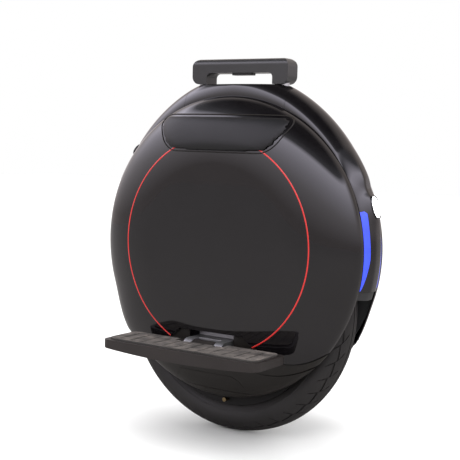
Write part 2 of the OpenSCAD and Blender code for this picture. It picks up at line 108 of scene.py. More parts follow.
class UnicycleSizes(bpy.types.PropertyGroup):
    tread_blocks: bpy.props.IntProperty(
        name="Tread blocks", description="Repeats of the tread round the tyre", default=44, min=12
    )
    tread_depth: length("Tread depth", "Depth of the tyre's grooves", 0.0024)
    shell_wall: length("Shell wall", "Thickness of the outer shells", 0.0025)
    edge_round: length("Edge radius", "Rounding on the shells' edges", 0.0007)
    ring_proud: length("Ring height", "How far the trim ring stands above the cover", 0.0002)
    pad_lip: length("Pad lip", "Width of the lip round a leg pad", 0.0018)


class UnicycleColours(bpy.types.PropertyGroup):
    gloss: colour("Shell", "Glossy outer shells", (0.0042, 0.0036, 0.0042))
    satin: colour("Lower covers", "Satin bands and lower covers", (0.0095, 0.008, 0.0068))
    trim: colour("Trim ring", "Thin ring on each side cover", (0.5, 0.02, 0.018))
    light: colour("Light strips", "Glow of the four light strips", (0.022, 0.045, 0.6))
    rubber: colour("Tyre", "Tyre rubber", (0.0125, 0.0112, 0.011))
    pad: colour("Leg pads", "Soft leg pads", (0.006, 0.006, 0.0068))
    pedal: colour("Pedals", "Pedal castings", (0.017, 0.0135, 0.0125))
    grip: colour("Pedal grips", "Gritty foot surface", (0.045, 0.041, 0.038))


# ---- mesh helpers -----------------------------------------------------------------------------


def pick(piece):
    """Leaves one object selected and active, in object mode."""
    if bpy.context.object and bpy.context.object.mode != "OBJECT":
        bpy.ops.object.mode_set(mode="OBJECT")
    bpy.ops.object.select_all(action="DESELECT")
    if piece:
        piece.select_set(True)
        bpy.context.view_layer.objects.active = piece


def clean(piece, facing=None):
    """Merges doubles and turns the faces outwards; facing is a direction for an open sheet."""
    edit(
        piece,
        ("select_all", {"action": "SELECT"}),
        ("remove_doubles", {"threshold": SAME_PLACE}),
        ("normals_make_consistent", {"inside": False}),
    )
    if facing:
        out = Vector(facing)
        if sum(f.normal.dot(out) * f.area for f in piece.data.polygons) < 0:
            piece.data.flip_normals()


def edit(piece, *steps, mode="VERT"):
    """Runs edit-mode steps on one object, each an operator and its settings."""
    pick(piece)
    bpy.ops.object.mode_set(mode="EDIT")
    bpy.ops.mesh.select_mode(type=mode)
    for step, settings in steps:
        getattr(bpy.ops.mesh, step)(**settings)
    bpy.ops.object.mode_set(mode="OBJECT")


def modify(piece, kind, **settings):
    """Adds a modifier and applies it."""
    made = piece.modifiers.new(kind.title(), kind)
    for key, value in settings.items():
        setattr(made, key, value)
    pick(piece)
    bpy.ops.object.modifier_apply(modifier=made.name)


def sheet(name, columns, rows, place, facing=None):
    """A grid laid on a surface: place(u, v) gives each point in millimetres."""
    pick(None)
    bpy.ops.mesh.primitive_grid_add(x_subdivisions=columns, y_subdivisions=rows, size=1)
    piece = bpy.context.active_object
    piece.name = piece.data.name = name
    for v in piece.data.vertices:
        v.co = Vector(place(v.co.x + 0.5, v.co.y + 0.5)) * MM
    clean(piece, facing)
    return piece


def thicken(piece, wall, edge, segments=3):
    """Gives a sheet its wall, inwards, and rounds its edges."""
    modify(piece, "SOLIDIFY", thickness=wall, offset=-1)
    round_edges(piece, edge, segments)


def round_edges(piece, edge, segments=3, angle=40):
    pick(piece)
    bpy.ops.object.shade_smooth_by_angle(angle=math.radians(angle))
    modify(
        piece,
        "BEVEL",
        width=edge,
        segments=segments,
        limit_method="ANGLE",
        angle_limit=math.radians(angle),
        harden_normals=True,
    )


def smooth(piece, angle=35):
    pick(piece)
    bpy.ops.object.shade_smooth_by_angle(angle=math.radians(angle))


def back_up(piece, wall=0.002, angle=50):
    """Gives a small sheet its wall, inwards, and smooths it."""
    modify(piece, "SOLIDIFY", thickness=wall, offset=-1)
    smooth(piece, angle)


def cut(piece, cutters, operation="DIFFERENCE"):
    """Takes the cutters out of the piece and deletes them."""
    for cutter in cutters:
        modify(piece, "BOOLEAN", object=cutter, operation=operation, solver="EXACT")
        bpy.data.objects.remove(cutter)


def prism(outline, y0, y1):
    """A solid with an outline in X and Z, between two places along Y."""
    pick(None)
    bpy.ops.mesh.primitive_circle_add(vertices=len(outline), fill_type="NGON")
    piece = bpy.context.active_object
    for v, (x, z) in zip(piece.data.vertices, outline):
        v.co = Vector((x, y0, z)) * MM
    move = {"TRANSFORM_OT_translate": {"value": (0, (y1 - y0) * MM, 0)}}
    edit(piece, ("select_all", {"action": "SELECT"}), ("extrude_region_move", move))
    clean(piece)
    return piece


def round_cutter(radius, depth, spot, turned=(0, 0, 0)):
    """A cylinder for a round hole."""
    pick(None)
    bpy.ops.mesh.primitive_cylinder_add(
        vertices=64, radius=radius, depth=depth, location=spot, rotation=turned
    )
    return bpy.context.active_object


def copy_of(piece, name):
    """A copy with its own mesh."""
    copy = piece.copy()
    copy.data = piece.data.copy()
    copy.name = copy.data.name = name
    bpy.context.scene.collection.objects.link(copy)
    return copy


def other_side(piece, name, axis="Y"):
    """A mirrored copy with its own mesh."""
    copy = copy_of(piece, name)
    flip = Vector((-1, 0, 0)) if axis == "X" else Vector((0, -1, 0))
    copy.data.transform(Matrix.Scale(-1, 4, flip))
    copy.data.flip_normals()
    return copy


def place_piece(piece, finish, body="root", stands_for=()):
    piece.data.materials.clear()
    piece.data.materials.append(finish)
    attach(piece, body)
    if stands_for:
        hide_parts(*([stands_for] if isinstance(stands_for, str) else stands_for))
    return piece


def dressed(node, edge, segments=2, angle=38):
    """A merged copy of a CAD node with rounded edges, which stands for it."""
    copy = copy_of(frame["nodes"][node], node + "_dressed")
    copy.parent = None
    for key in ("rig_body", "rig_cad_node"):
        if key in copy:
            del copy[key]
    edit(
        copy,
        ("select_all", {"action": "SELECT"}),
        ("remove_doubles", {"threshold": SAME_PLACE}),
        ("customdata_custom_splitnormals_clear", {}),
        ("dissolve_limited", {"angle_limit": math.radians(0.6)}),
    )
    round_edges(copy, edge * MM, segments, angle)
    return copy


def dress(node, finish, body, edge, segments=2):
    """Puts a finished, edge-rounded copy in the place of a CAD node."""
    place_piece(dressed(node, edge, segments), finish, body, node)


def paint(finish, *nodes):
    """Gives carried-over CAD nodes their finish."""
    for node in nodes:
        piece = frame["nodes"][node]
        if not piece.material_slots:
            piece.data.materials.append(finish)
        for s in piece.material_slots:
            s.material = finish


# ---- surfaces ---------------------------------------------------------------------------------


def dome(r, rim_y, mid_y, rim_r):
    """How far a domed side stands from the middle plane at a distance from its centre."""
    q = max(0.0, r - FLAT_R) / (rim_r - FLAT_R)
    return rim_y + (mid_y - rim_y) * math.sqrt(max(0.0, 1 - q * q))


FRONT, RIGHT = (1, 0, 0), (0, -1, 0)

# Domed surfaces: distance from the middle plane at the rim and in the middle, and rim radius.
COVER = (41.0, 72.5, 227.0)
BAND = (39.0, 68.5, 226.2)
LOWER = (37.5, 65.5, 225.4)
PANEL = (37.4, 65.4, 225.3)


def cover_edge(x):
    return min(127.8 + 0.0066 * (abs(x) - 125) ** 2, 160)


def band_edge(x):
    return 112 if abs(x) < 57 else 106.6 + 0.0042 * (abs(x) - 93) ** 2


def circle_low(x, rim_r):
    return BODY_Z - math.sqrt(max(0.0, rim_r * rim_r - x * x))


def fall_share(x, z):
    """0 beside the centre shell, rising to 1 where the lower covers begin."""
    fall = math.degrees(math.atan2(BODY_Z - z, abs(x)))
    t = min(1.0, max(0.0, (fall - 18) / 24))
    return t * t * (3 - 2 * t)


def cover_rim(x, z):
    """The side cover's rim in this direction: its place along Y and its radius."""
    share = fall_share(x, z)
    return RIM_Y + 0.7 + 12.7 * share, RIM_R + 4.1 * share


def on_dome(x, z, surface, lift=0.0):
    """The right-hand point of a domed surface over a place in X and Z."""
    r = math.hypot(x, z - BODY_Z)
    if surface is COVER:
        rim_y, rim_r = cover_rim(x, z)
        surface = (rim_y, COVER[1], rim_r)
    return (x, -dome(r, *surface) - lift, z)


def first(test, low, high, steps=40):
    """The value between low and high where test turns true."""
    for _ in range(steps):
        mid = (low + high) / 2
        low, high = (low, mid) if test(mid) else (mid, high)
    return (low + high) / 2


def stations(keys, count):
    """Places from the first key to the last, evenly spread, with one on each key."""
    total, out = keys[-1] - keys[0], [keys[0]]
    for a, b in zip(keys, keys[1:]):
        n = max(1, round(count * (b - a) / total))
        out += [a + (b - a) * i / n for i in range(1, n + 1)]
    return out


def strip(name, keys, low, high, surface, rows=14, columns=160, lean=1.0):
    """A right-hand panel on a domed side, between two edges given over X."""
    xs = stations(keys, columns)

    def place(u, v):
        x = xs[round(u * (len(xs) - 1))]
        z0, z1 = low(x), high(x)
        return on_dome(x, z0 + max(0.0, z1 - z0) * v**lean, surface)

    return sheet(name, len(xs) - 1, rows, place, RIGHT)


# ---- surface finishes -------------------------------------------------------------------------


def group(name, inputs, outputs, build):
    """A shader node group made once; build(tree, into, out) joins its sockets."""
    tree = bpy.data.node_groups.get(name)
    if tree:
        return tree
    tree = bpy.data.node_groups.new(name, "ShaderNodeTree")
    for title, kind, default in inputs:
        made = tree.interface.new_socket(title, in_out="INPUT", socket_type="NodeSocket" + kind)
        if default is not None:
            made.default_value = default
    for title, kind in outputs:
        tree.interface.new_socket(title, in_out="OUTPUT", socket_type="NodeSocket" + kind)
    build(tree, tree.nodes.new("NodeGroupInput"), tree.nodes.new("NodeGroupOutput"))
    return tree


def node(tree, kind, links=None, **settings):
    """Adds a node; links maps its input sockets to a source socket or a value."""
    made = tree.nodes.new("ShaderNode" + kind)
    for key, value in settings.items():
        setattr(made, key, value)
    for key, value in (links or {}).items():
        if isinstance(value, bpy.types.NodeSocket):
            tree.links.new(value, made.inputs[key])
        else:
            made.inputs[key].default_value = value
    return made


def times(tree, a, b):
    return node(tree, "Math", {0: a, 1: b}, operation="MULTIPLY").outputs[0]


def ramp(tree, source, stops):
    """A colour ramp from greys or colours given as (place, value)."""
    made = node(tree, "ValToRGB", {"Fac": source})
    bar = made.color_ramp
    while len(bar.elements) < len(stops):
        bar.elements.new(0.5)
    for element, (place, value) in zip(bar.elements, stops):
        element.position = place
        grey = value if isinstance(value, (tuple, list)) else (value, value, value)
        element.color = (*grey, 1)
    return made.outputs["Color"]


def mix_colour(tree, factor, a, b):
    """A colour mix of two sockets or values."""
    made = node(tree, "Mix", data_type="RGBA")
    sockets = {s.name: s for s in made.inputs if s.type == "RGBA"}
    tree.links.new(factor, [s for s in made.inputs if s.name == "Factor" and s.type == "VALUE"][0])
    for key, value in (("A", a), ("B", b)):
        if isinstance(value, bpy.types.NodeSocket):
            tree.links.new(value, sockets[key])
        else:
            sockets[key].default_value = (*value, 1)
    return [s for s in made.outputs if s.type == "RGBA"][0]


def grain_group():
    def build(tree, into, out):
        where = {"Vector": into.outputs["Vector"], "Scale": into.outputs["Scale"]}
        fine = node(tree, "TexNoise", {**where, "Detail": 3.0})
        pits = node(tree, "TexVoronoi", where)
        both = times(tree, fine.outputs["Fac"], pits.outputs["Distance"])
        tree.links.new(both, out.inputs["Height"])
        tree.links.new(fine.outputs["Fac"], out.inputs["Mask"])

    return group(
        "Moulded grain",
        [("Vector", "Vector", None), ("Scale", "Float", 900.0)],
        [("Height", "Float"), ("Mask", "Float")],
        build,
    )


def mottle_group():
    def build(tree, into, out):
        where = {"Vector": into.outputs["Vector"], "Scale": into.outputs["Scale"]}
        cloud = node(tree, "TexNoise", {**where, "Detail": 5.0, "Roughness": 0.6})
        mask = ramp(tree, cloud.outputs["Fac"], [(0.35, 0.0), (0.68, 1.0)])
        mixed = mix_colour(tree, mask, into.outputs["Light"], into.outputs["Dark"])
        tree.links.new(mixed, out.inputs["Color"])
        tree.links.new(mask, out.inputs["Mask"])

    return group(
        "Uneven colour",
        [
            ("Vector", "Vector", None),
            ("Scale", "Float", 14.0),
            ("Light", "Color", (0.5, 0.5, 0.5, 1)),
            ("Dark", "Color", (0.4, 0.4, 0.4, 1)),
        ],
        [("Color", "Color"), ("Mask", "Float")],
        build,
    )


def scuff_group():
    """Thin scratches that run mostly one way, and soft smears."""

    def build(tree, into, out):
        where = into.outputs["Vector"]
        turned = {"Vector": where, "Rotation": (0.3, 0.5, 0.2), "Scale": (9, 260, 40)}
        stretched = node(tree, "Mapping", turned).outputs["Vector"]
        lines = node(tree, "TexNoise", {"Vector": stretched, "Scale": 1.6, "Detail": 2.0})
        thin = ramp(tree, lines.outputs["Fac"], [(0.69, 0.0), (0.72, 1.0)])
        cloudy = {"Vector": where, "Scale": into.outputs["Smear scale"], "Detail": 4.0}
        smear = node(tree, "TexNoise", cloudy)
        soft = ramp(tree, smear.outputs["Fac"], [(0.42, 0.0), (0.75, 1.0)])
        tree.links.new(thin, out.inputs["Scratches"])
        tree.links.new(soft, out.inputs["Smears"])

    return group(
        "Scuffs",
        [("Vector", "Vector", None), ("Smear scale", "Float", 12.0)],
        [("Scratches", "Float"), ("Smears", "Float")],
        build,
    )


def dust_group():
    """Dust that lies on what faces up."""

    def build(tree, into, out):
        facing = node(tree, "SeparateXYZ", {"Vector": node(tree, "NewGeometry").outputs["Normal"]})
        up = ramp(tree, facing.outputs["Z"], [(0.2, 0.0), (1.0, 1.0)])
        patches = {"Scale": 60.0, "Detail": 6.0, "Roughness": 0.7}
        cloud = node(tree, "TexNoise", {"Vector": into.outputs["Vector"], **patches})
        patchy = ramp(tree, cloud.outputs["Fac"], [(0.4, 0.1), (0.7, 1.0)])
        scaled = times(tree, times(tree, up, patchy), into.outputs["Amount"])
        tree.links.new(scaled, out.inputs["Mask"])

    return group(
        "Settled dust",
        [("Vector", "Vector", None), ("Amount", "Float", 0.1)],
        [("Mask", "Float")],
        build,
    )


def finish_of(
    name,
    base,
    rough=(0.4, 0.5),
    dark=0.75,
    mottle=14.0,
    grain=900.0,
    bump=0.1,
    depth=0.0002,
    dust=0.05,
    scratch=0.3,
    dust_colour=(0.28, 0.25, 0.22),
    wave=0.0,
    **shader,
):
    """A material with uneven colour, grain, scratches, smears and dust."""
    name = name + "_surface"
    found = bpy.data.materials.get(name)
    if found:
        return found
    made = bpy.data.materials.new(name)
    made.use_nodes = True
    tree = made.node_tree
    principled = tree.nodes["Principled BSDF"]
    where = node(tree, "TexCoord").outputs["Object"]
    shades = {"Light": (*base, 1), "Dark": (*(c * dark for c in base), 1)}

    def placed(made_group, **values):
        return node(tree, "Group", {"Vector": where, **values}, node_tree=made_group)

    colours = placed(mottle_group(), Scale=mottle, **shades)
    scuffs = placed(scuff_group())
    settled = placed(dust_group(), Amount=dust)
    grains = placed(grain_group(), Scale=grain)
    scratched = times(tree, scuffs.outputs["Scratches"], scratch)
    lighter = tuple(min(1.0, c * 1.8 + 0.02) for c in base)
    worn = mix_colour(tree, scratched, colours.outputs["Color"], lighter)
    dusty = mix_colour(tree, settled.outputs["Mask"], worn, dust_colour)
    tree.links.new(dusty, principled.inputs["Base Color"])
    span = {"Value": scuffs.outputs["Smears"], "To Min": rough[0], "To Max": rough[1]}
    both = {0: node(tree, "MapRange", span).outputs["Result"], 1: settled.outputs["Mask"]}
    duller = node(tree, "Math", both, operation="ADD", use_clamp=True)
    tree.links.new(duller.outputs[0], principled.inputs["Roughness"])
    height = grains.outputs["Height"]
    if wave:
        slow = node(tree, "TexNoise", {"Vector": where, "Scale": wave, "Detail": 1.0})
        height = slow.outputs["Fac"]
    bumped = node(tree, "Bump", {"Height": height, "Strength": bump, "Distance": depth})
    tree.links.new(bumped.outputs["Normal"], principled.inputs["Normal"])
    for key, value in shader.items():
        principled.inputs[key.replace("_", " ")].default_value = value
    return made


def glowing(name, tint, strength, core=(1, 1, 1), **shader):
    """A lit lens: patchy in brightness, from the tint to the core colour, with a fine moulded
    pattern.
    """
    name = name + "_surface"
    found = bpy.data.materials.get(name)
    if found:
        return found
    made = bpy.data.materials.new(name)
    made.use_nodes = True
    tree = made.node_tree
    principled = tree.nodes["Principled BSDF"]
    where = node(tree, "TexCoord").outputs["Object"]
    ribs = node(tree, "TexWave", {"Vector": where, "Scale": 260.0, "Distortion": 0.4})
    cloud = node(tree, "TexNoise", {"Vector": where, "Scale": 45.0, "Detail": 2.0})
    lit = ramp(tree, cloud.outputs["Fac"], [(0.3, tuple(c * 0.8 for c in tint)), (0.7, core)])
    tree.links.new(lit, principled.inputs["Emission Color"])
    principled.inputs["Emission Strength"].default_value = strength
    principled.inputs["Base Color"].default_value = (*tint, 1)
    bumped = node(
        tree, "Bump", {"Height": ribs.outputs["Fac"], "Strength": 0.15, "Distance": 0.0003}
    )
    tree.links.new(bumped.outputs["Normal"], principled.inputs["Normal"])
    for key, value in shader.items():
        principled.inputs[key.replace("_", " ")].default_value = value
    return made


def gloss_shell():
    return finish_of(
        "gloss_shell", bpy.context.scene.unicycle_colours.gloss, rough=(0.025, 0.075),
        wave=38.0, bump=0.02, depth=0.0006, dust=0.012, scratch=0.02, IOR=1.5,
    )


def satin_cover():
    return finish_of(
        "satin_cover", bpy.context.scene.unicycle_colours.satin, rough=(0.36, 0.46),
        grain=1600.0, bump=0.25, depth=0.00025, dust=0.02, scratch=0.1, Specular_IOR_Level=0.3,
    )


def inner_plastic():
    return finish_of(
        "inner_plastic", (0.018, 0.018, 0.019), rough=(0.5, 0.62), grain=1400.0, bump=0.3, dust=0.08
    )


def tyre_rubber():
    return finish_of(
        "tyre_rubber", bpy.context.scene.unicycle_colours.rubber, rough=(0.58, 0.72),
        grain=1100.0, bump=0.35, depth=0.0003, dust=0.05, scratch=0.12,
        dust_colour=(0.12, 0.105, 0.09), Specular_IOR_Level=0.35,
    )


def black_rubber():
    return finish_of(
        "black_rubber", (0.016, 0.016, 0.017), rough=(0.55, 0.68), grain=1500.0, bump=0.3, dust=0.05
    )


def brushed_metal():
    return finish_of(
        "brushed_metal", (0.52, 0.53, 0.55), rough=(0.24, 0.36), dark=0.9, grain=2200.0,
        bump=0.12, dust=0.02, scratch=0.4, Metallic=1.0,
    )


def dark_metal():
    return finish_of(
        "dark_metal", (0.16, 0.16, 0.17), rough=(0.3, 0.42), dark=0.8, grain=1700.0, bump=0.15,
        dust=0.03, scratch=0.3, Metallic=1.0,
    )


def cast_metal():
    return finish_of(
        "cast_metal", (0.33, 0.33, 0.34), rough=(0.42, 0.55), dark=0.8, grain=900.0, bump=0.5,
        depth=0.0004, dust=0.04, Metallic=0.9,
    )


def motor_casting():
    return finish_of(
        "motor_casting", (0.006, 0.0055, 0.0055), rough=(0.55, 0.68), dark=0.8, grain=1200.0,
        bump=0.3, dust=0.012, scratch=0.1, Specular_IOR_Level=0.18,
    )


# ---- pieces: each operator below says what its function makes ---------------------------------


def build_tyre(context):
    sizes = context.scene.unicycle_sizes
    middle, inner_wall = TREAD_R - TYRE_SECTION, 3.4
    deep = sizes.tread_depth / MM
    count = sizes.tread_blocks
    pitch = 2 * math.pi * TREAD_R / count
    lip, slit, link0 = 1.45, 1.1, 3.6  # half-widths along the tread
    slit_start, slit_knee, slit_end = 9.5, 17, 31
    columns = [-lip, -slit, slit, lip, link0, link0 + 0.4, 7.5, 11.5, 15.5, 19.5, 23.5]
    half = [0, 1.9, 2.1, 3.5, 3.7, 6.5, 9.3, 9.7, 12.5, 15.5, 17.9, 18.1, 19.9, 20.1, 22.5, 25, 28]
    half += [30.6, 31, 34, 38, 42, 46.4, 46.8, 48.2, 48.6, 52, 56, 60, 64, 68.9]
    outer = [(-s, 0.0) for s in reversed(half[1:])] + [(s, 0.0) for s in half]
    inner = [(s, inner_wall) for s in (68.9, 50, 25, 0, -25, -50, -68.9)]
    profile = outer + inner + outer[:1]

    def lean(s):
        """How far a slit has run round the tyre by this place across it."""
        s = min(max(s, slit_start), slit_end)
        if s < slit_knee:
            return (s - slit_start) * 11.5 / 7.5
        return 11.5 + (s - slit_knee) * 16.5 / 14

    def depth(s, column):
        if 2.0 < s < 3.6:
            return deep
        if 46.6 < s < 48.4:
            return -0.4
        in_slit = abs(columns[column]) <= slit
        if 9.5 < s < 30.8 and in_slit:
            return deep * (1 if s < 21 else 1 - 0.06 * (s - 21))
        linked = columns[column] > link0 or columns[column] == -lip
        if 18 < s < 20 and (linked or in_slit):
            return deep * 0.85
        return 0.0

    def place(u, v):
        step = round(u * count * len(columns))
        block, column = divmod(step, len(columns))
        across, sunk = profile[round(v * (len(profile) - 1))]
        s = abs(across)
        along = columns[column]
        if 21 < s < 31.5 and abs(along) <= lip:
            along *= 1 - 0.06 * (s - 21)
        if sunk:
            wobble = 0.0
        else:
            sunk = depth(s, column)
            near = max(0.0, 1 - abs(s - 19) / 6)
            part = (along + lip) / pitch
            zig = -1.75 + 3.5 * part / 0.18 if part < 0.18 else 1.75 - 3.5 * (part - 0.18) / 0.82
            wobble = near * zig
        turn = -(block * pitch + along + lean(s)) / TREAD_R
        tilt = math.copysign(s + wobble, across) / TYRE_SECTION
        r = TYRE_SECTION - sunk
        far = middle + r * math.cos(tilt)
        return (far * math.cos(turn), -r * math.sin(tilt), WHEEL_Z + far * math.sin(turn))

    tyre = sheet("tyre_tread", count * len(columns), len(profile) - 1, place)
    smooth(tyre, 28)
    place_piece(tyre, tyre_rubber(), "wheel", "tyre")


def build_wheel(context):
    paint(motor_casting(), "hub_rim", "motor_cover_right", "motor_cover_left")
    paint(dark_metal(), "motor_cover_screws")
    paint(brushed_metal(), "magnets", "hub_bearings")
    paint(black_rubber(), "inner_tube")
    paint(
        finish_of("valve_brass", (0.2, 0.15, 0.08), rough=(0.35, 0.5), scratch=0.3, Metallic=1.0),
        "valve_stem",
    )


def build_core(context):
    paint(dark_metal(), "axle", "stator_core", "hanger_bolts", "cover_screws")
    paint(
        finish_of(
            "enamelled_wire", (0.5, 0.2, 0.07), rough=(0.28, 0.4), grain=700.0, bump=0.5,
            Metallic=0.8,
        ),
        "stator_windings",
    )
    paint(black_rubber(), "motor_cable")

    def place(u, v):
        y, turn = (RIM_Y - 0.8) * (2 * u - 1), math.radians(-15.6 + 3.6 * v)
        r = crown_reach(y, turn) - 2.6
        return (r * math.cos(turn), y, BODY_Z + r * math.sin(turn))

    flap = sheet("mud_flap_front", 30, 12, place, FRONT)
    thicken(flap, 0.004, 0.0008)
    place_piece(flap, black_rubber(), "root", "mud_flaps")
    place_piece(other_side(flap, "mud_flap_rear", "X"), black_rubber())
    paint(brushed_metal(), "axle_nuts", "pedal_pins")
    paint(inner_plastic(), "side_frame_right", "side_frame_left", "fender")
    for side in ("right", "left"):
        dress(f"hanger_{side}", cast_metal(), "root", 0.9)


def build_side_covers(context):
    sizes = context.scene.unicycle_sizes

    def past_rim(x):
        z = cover_edge(x)
        return math.hypot(x, z - BODY_Z) > cover_rim(x, z)[1]

    end_x = first(past_rim, 150, 220)
    corner_x = first(lambda x: cover_edge(x) < 159.999, 30, 90)

    def bearing(x, z):
        return math.atan2(z - BODY_Z, x)

    low_right = [bearing(end_x, cover_edge(end_x)), bearing(corner_x, 160)]
    keys = [low_right[0], math.pi - low_right[0], math.pi - low_right[1]]
    keys += [low_right[1] + 2 * math.pi, low_right[0] + 2 * math.pi]
    turns = stations(keys, 400)

    def reach(a):
        """How far the cover runs from its centre in this direction."""
        c, s = math.cos(a), math.sin(a)
        rim_r = cover_rim(c, BODY_Z + s)[1]
        if s > math.sin(low_right[0]) - 1e-6:
            return rim_r, rim_r
        return min(rim_r, first(lambda r: BODY_Z + r * s < cover_edge(r * c), 60, 260)), rim_r

    def share(r, rim_r):
        if r < FLAT_R:
            return 0.28 * r / FLAT_R
        return 1 - 0.72 * math.acos(min(1.0, (r - FLAT_R) / (rim_r - FLAT_R))) / (math.pi / 2)

    def radius(t, rim_r):
        if t < 0.28:
            return FLAT_R * t / 0.28
        return FLAT_R + (rim_r - FLAT_R) * math.cos((1 - t) / 0.72 * math.pi / 2)

    limits = [(share(*reach(a)), reach(a)[1]) for a in turns]

    def place(u, v):
        i = round(u * (len(turns) - 1))
        limit, rim_r = limits[i]
        r, a = radius(v * limit, rim_r), turns[i]
        return on_dome(r * math.cos(a), BODY_Z + r * math.sin(a), COVER)

    cover = sheet("side_cover_gloss_right", len(turns) - 1, 54, place, RIGHT)
    thicken(cover, sizes.shell_wall, sizes.edge_round)
    for side, piece in (("right", cover), ("left", other_side(cover, "side_cover_gloss_left"))):
        place_piece(piece, gloss_shell(), "root", f"side_cover_{side}")


def build_rings(context):
    sizes = context.scene.unicycle_sizes
    r0, r1, centre_z = 158.0, 160.0, BODY_Z + 4
    mid = (r0 + r1) / 2

    def low(a):
        return centre_z + mid * math.sin(a) < cover_edge(mid * math.cos(a)) + 0.6

    start = -first(lambda t: low(-t), 0.4, 1.4)
    sweep = math.pi - 2 * start

    def place(u, v):
        a = start + sweep * u
        r = r0 + (r1 - r0) * v
        x, z = r * math.cos(a), centre_z + r * math.sin(a)
        crown = sizes.ring_proud / MM * (1 + 1.2 * (1 - (2 * v - 1) ** 2))
        return on_dome(x, z, COVER, crown)

    ring = sheet("trim_ring_right", 300, 6, place, RIGHT)
    back_up(ring, 0.0012)
    red = finish_of(
        "trim_red", context.scene.unicycle_colours.trim, rough=(0.18, 0.28), dark=0.9,
        bump=0.03, dust=0.01, scratch=0.05,
    )
    place_piece(ring, red, "root", "trim_rings")
    place_piece(other_side(ring, "trim_ring_left"), red)


def build_bands(context):
    sizes = context.scene.unicycle_sizes

    def top(x):
        return 125 if abs(x) <= 39 else cover_edge(x) - 1.3

    def low(x):
        return max(band_edge(x) + 0.7, circle_low(x, BAND[2]))

    end_x = first(lambda x: low(x) > cover_edge(x) - 1.3, 150, 215)
    keys = [-end_x, -57, -39.05, -39, 39, 39.05, 57, end_x]
    band = strip("side_band_satin_right", keys, low, top, BAND, rows=16, lean=1.6)
    thicken(band, sizes.shell_wall, 1.6 * sizes.edge_round)
    for side, piece in (("right", band), ("left", other_side(band, "side_band_satin_left"))):
        place_piece(piece, satin_cover(), "root", f"side_band_{side}")


def build_lower_covers(context):
    sizes = context.scene.unicycle_sizes

    def low(x):
        return circle_low(x, LOWER[2])

    def top(x):
        return band_edge(x) - 0.9

    end_x = first(lambda x: low(x) > top(x), 100, 200)
    keys = [-end_x, -57, 57, end_x]
    cover = strip("lower_cover_satin_right", keys, low, top, LOWER, rows=26, lean=2.0)
    thicken(cover, sizes.shell_wall, 1.4 * sizes.edge_round)
    outline = [(-78, 72.6), (-64, 96), (30, 96), (42, 90), (58, 70)]
    cut(cover, [prism(outline, -90, -30)])
    smooth(cover)

    def panel_top(x):
        if x < -64:
            return 72.8 + (x + 77.4) * 22.7 / 13.1
        if x < 29.8:
            return 95.5
        if x < 41.7:
            return 95.5 - (x - 29.8) * 6 / 11.9
        return 89.5 - (x - 41.7) * 18.6 / 15.6

    def panel_low(x):
        return min(panel_top(x), 73.1 - 2.6 * (x + 77.4) / 134.6)

    keys = [-77.4, -64.3, 29.8, 41.7, 57.2]
    panel = strip("service_panel_satin_right", keys, panel_low, panel_top, PANEL, 10, 60)
    thicken(panel, 0.0022, 0.0005)
    left = other_side(cover, "lower_cover_satin_left")
    left_panel = other_side(panel, "service_panel_satin_left")
    for side, a, b in (("right", cover, panel), ("left", left, left_panel)):
        place_piece(a, satin_cover(), "root", f"lower_cover_{side}")
        place_piece(b, satin_cover(), "root", f"service_panel_{side}")


def soft_min(a, b, k):
    """The lesser of two values, with the corner between them rounded."""
    return 0.5 * (a + b - math.sqrt((a - b) ** 2 + k * k))


def crown_reach(y, turn):
    """Distance from the covers' centre to the centre shell: a ridge in front, round above."""
    along = CROWN_X * math.cos(turn) + CROWN_RISE * math.sin(turn)
    away = CROWN_X**2 + CROWN_RISE**2
    height = along + math.sqrt(along * along - away + CROWN_R**2) - RIM_R
    across = min(1.0, abs(y) / RIM_Y)
    round_part = (1 - across * across) ** (1 - 0.5 * min(1.0, height / RIM_Y))
    ridge = soft_min(1.0, (1.0 - across) / 0.7, 0.12) ** 1.1 if across < 1 else 0.0
    share = min(1.0, max(0.0, (40 - math.degrees(turn)) / 22))
    share *= 3 - 2 * share
    return RIM_R + height * round_part * (1 - share) + (height + 1.9) * ridge * share


def crown_x(y, turn):
    return crown_reach(y, turn) * math.cos(turn)


def brow(y, turn):
    """The dip over the lamp and the swelling round it."""
    degrees = math.degrees(turn)
    fade = max(0.0, 1 - (y / RIM_Y) ** 2) ** 2
    dip = -2.6 * math.exp(-(((degrees - 24) / 2.6) ** 2))
    swell = 2.8 * math.exp(-(((degrees - 16.6) / 4.6) ** 2)) * math.exp(-((y / 17) ** 2))
    return fade * dip + swell


def shell_point(y, turn, lift=0.0):
    r = crown_reach(y, turn) + brow(y, turn) + lift
    return (r * math.cos(turn), y, BODY_Z + r * math.sin(turn))


ACROSS = [RIM_Y * math.sin(math.pi / 2 * i / 22) for i in range(-22, 23)]


def across_shell(u):
    """The place across the centre shell, closer together towards its seams."""
    return ACROSS[round(u * (len(ACROSS) - 1))]


def build_shells(context):
    sizes = context.scene.unicycle_sizes

    def place(u, v):
        y = across_shell(u)
        low = math.asin((SHELL_END_Z - BODY_Z) / crown_reach(y, math.radians(-8)))
        high = first(lambda t: crown_x(y, t) < SHELL_TOP_X + 0.2, 0.9, 1.5)
        return shell_point(y, low + (high - low) * v)

    front = sheet("front_shell_gloss", len(ACROSS) - 1, 120, place, FRONT)
    thicken(front, sizes.shell_wall, sizes.edge_round)
    rear = other_side(front, "rear_shell_gloss", "X")
    place_piece(front, gloss_shell(), "root", "front_shell")
    holes = []
    for tilt, r in ((29, 8.4), (58, 10.3)):
        a = math.radians(tilt)
        spot = Vector((9 - 241 * math.sin(a), 0, 293 + 241 * math.cos(a))) * MM
        holes.append(round_cutter(r * MM, 0.03, spot, (0, -a, 0)))
    cut(rear, holes)
    place_piece(rear, gloss_shell(), "root", "rear_shell")


